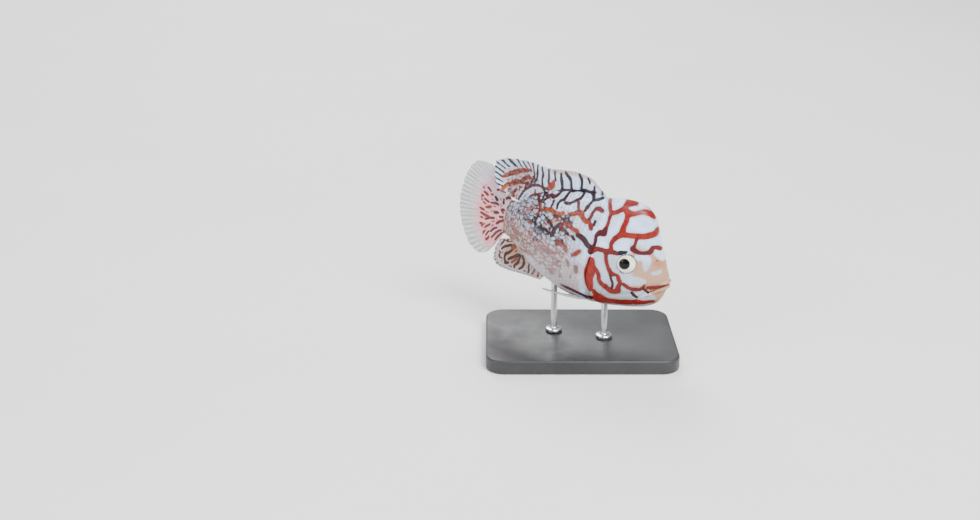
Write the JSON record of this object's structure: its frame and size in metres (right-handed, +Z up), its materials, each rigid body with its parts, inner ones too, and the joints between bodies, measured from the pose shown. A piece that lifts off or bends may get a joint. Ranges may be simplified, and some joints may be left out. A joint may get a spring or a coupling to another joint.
{
  "type": "flowerhorn cichlid model on a display stand",
  "caption": "Life-size still model of a young hump-headed cichlid, turning with its nose down, held on a plain base by short rods.",
  "frame": {"origin": "centre of the underside of the stand's base", "axes": "+X the way that the fish faces before it turns, +Y to the fish's left, +Z up"},
  "size_m": [0.1054, 0.0787, 0.088],
  "materials": {
    "skin": "wet scaled skin, pearl blue-grey with a dark and orange-red network",
    "fin": "thin rayed fin, grey-brown with dark and red marks",
    "eye": "clear glossy eye, cream iris and black pupil",
    "base": "satin black",
    "rod": "brushed steel"
  },
  "bodies": {
    "root": {"head": "skin", "lower_jaw": "skin", "trunk": "skin", "tail_stem": "skin", "gill_cover_left": "skin", "gill_cover_right": "skin", "dorsal_fin": "fin", "anal_fin": "fin", "caudal_fin": "fin", "pectoral_fin_left": "fin", "pectoral_fin_right": "fin", "pelvic_fin_left": "fin", "pelvic_fin_right": "fin", "eye_left": "eye", "eye_right": "eye", "stand_base": "base", "stand_rod_front": "rod", "stand_rod_rear": "rod"}
  },
  "joints": []
}
